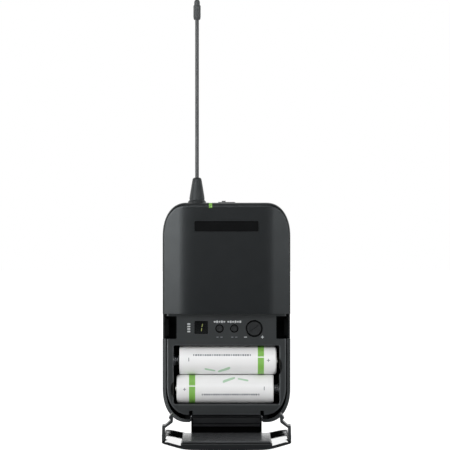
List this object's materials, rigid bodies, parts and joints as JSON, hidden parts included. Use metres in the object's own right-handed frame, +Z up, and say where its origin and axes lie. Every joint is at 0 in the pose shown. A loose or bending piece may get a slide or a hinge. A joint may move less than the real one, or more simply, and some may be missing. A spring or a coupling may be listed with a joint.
{
  "type": "wireless bodypack transmitter",
  "caption": "Belt-worn radio microphone transmitter with a whip antenna, a hinged battery door standing open, cylindrical cells, panel controls and a wire belt clip.",
  "frame": {"origin": "centre of the flat back face of the rear housing", "axes": "+Z up along the antenna, +Y out of the back towards the wearer, the front with the door faces -Y, +X to the right seen from the front"},
  "size_m": [0.064, 0.0679, 0.2242],
  "materials": {
    "housing_plastic": "fine-textured charcoal moulded plastic",
    "chassis_plastic": "satin charcoal moulded plastic",
    "door_plastic": "dark charcoal moulded plastic, smooth inside",
    "badge_gloss": "gloss black, blank",
    "display_black": "smoked gloss window",
    "control_plastic": "matt black plastic",
    "component_black": "matt black component body",
    "light_green": "translucent green light pipe",
    "board_green": "solder-masked circuit board",
    "tinned_steel": "tin-plated pressed steel",
    "spring_steel": "bright spring steel",
    "clip_wire": "dark-plated spring wire",
    "nickel_plate": "nickel plate",
    "gold_plate": "gold plate",
    "antenna_rubber": "black moulded rubber",
    "cell_sleeve": "white shrink sleeve with a green band",
    "label_film": "blank silver film label"
  },
  "bodies": {
    "pack": {"front_housing": "housing_plastic", "rear_housing": "housing_plastic", "chassis_frame": "chassis_plastic", "blank_badge": "badge_gloss", "rear_label": "label_film", "display_lens": "display_black", "display_module": "display_black", "group_tact_switch": "component_black", "channel_tact_switch": "component_black", "gain_potentiometer": "tinned_steel", "main_board": "board_green", "shield_can": "tinned_steel", "audio_chip": "component_black", "filter_capacitor": "tinned_steel", "power_light_pipe": "light_green", "power_led": "light_green", "power_switch_body": "tinned_steel", "connector_shell": "nickel_plate", "connector_insert": "component_black", "connector_pin_1": "gold_plate", "connector_pin_2": "gold_plate", "connector_pin_3": "gold_plate", "connector_pin_4": "gold_plate", "antenna_ferrule": "nickel_plate", "antenna_boot": "antenna_rubber", "antenna_whip": "antenna_rubber", "antenna_tip": "antenna_rubber", "upper_plate_contact": "nickel_plate", "upper_spring_contact": "spring_steel", "lower_plate_contact": "nickel_plate", "lower_spring_contact": "spring_steel", "screw_upper_left": "spring_steel", "screw_upper_right": "spring_steel", "screw_lower_left": "spring_steel", "screw_lower_right": "spring_steel"},
    "door": {"door_panel": "door_plastic", "door_liner": "door_plastic", "hinge_rod": "spring_steel"},
    "latch_left": {"latch_left": "door_plastic"},
    "latch_right": {"latch_right": "door_plastic"},
    "group_button": {"group_button": "control_plastic"},
    "channel_button": {"channel_button": "control_plastic"},
    "gain_rotor": {"gain_rotor": "control_plastic"},
    "power_slider": {"power_slider": "control_plastic"},
    "upper_cell": {"upper_cell_can": "spring_steel", "upper_cell_sleeve": "cell_sleeve", "upper_cell_cap": "nickel_plate"},
    "lower_cell": {"lower_cell_can": "spring_steel", "lower_cell_sleeve": "cell_sleeve", "lower_cell_cap": "nickel_plate"},
    "belt_clip": {"belt_clip": "clip_wire"}
  },
  "joints": [
    {"name": "door_hinge", "type": "hinge", "parent": "pack", "child": "door", "pos_m": [0, -0.009, -0.0525], "axis": [1, 0, 0], "range_deg": [-93, 4]},
    {"name": "latch_left_flex", "type": "hinge", "parent": "door", "child": "latch_left", "pos_m": [-0.0311, -0.05363, -0.06165], "axis": [0, 0.9986, 0.0523], "range_deg": [0, 6]},
    {"name": "latch_right_flex", "type": "hinge", "parent": "door", "child": "latch_right", "pos_m": [0.0311, -0.05363, -0.06165], "axis": [0, -0.9986, -0.0523], "range_deg": [0, 6]},
    {"name": "group_button_press", "type": "slide", "parent": "pack", "child": "group_button", "axis": [0, 1, 0], "range_m": [0, 0.0004]},
    {"name": "channel_button_press", "type": "slide", "parent": "pack", "child": "channel_button", "axis": [0, 1, 0], "range_m": [0, 0.0004]},
    {"name": "gain_turn", "type": "hinge", "parent": "pack", "child": "gain_rotor", "pos_m": [0.0139, -0.015, -0.0081], "axis": [0, 1, 0], "range_deg": [-100, 170]},
    {"name": "power_slide", "type": "slide", "parent": "pack", "child": "power_slider", "axis": [1, 0, 0], "range_m": [0, 0.003]},
    {"name": "upper_cell_lift", "type": "slide", "parent": "pack", "child": "upper_cell", "axis": [0, -1, 0], "range_m": [0, 0.03]},
    {"name": "lower_cell_lift", "type": "slide", "parent": "pack", "child": "lower_cell", "axis": [0, -1, 0], "range_m": [0, 0.03]},
    {"name": "belt_clip_spring", "type": "hinge", "parent": "pack", "child": "belt_clip", "pos_m": [0, 0.0032, 0.031], "axis": [1, 0, 0], "range_deg": [0, 10]}
  ]
}
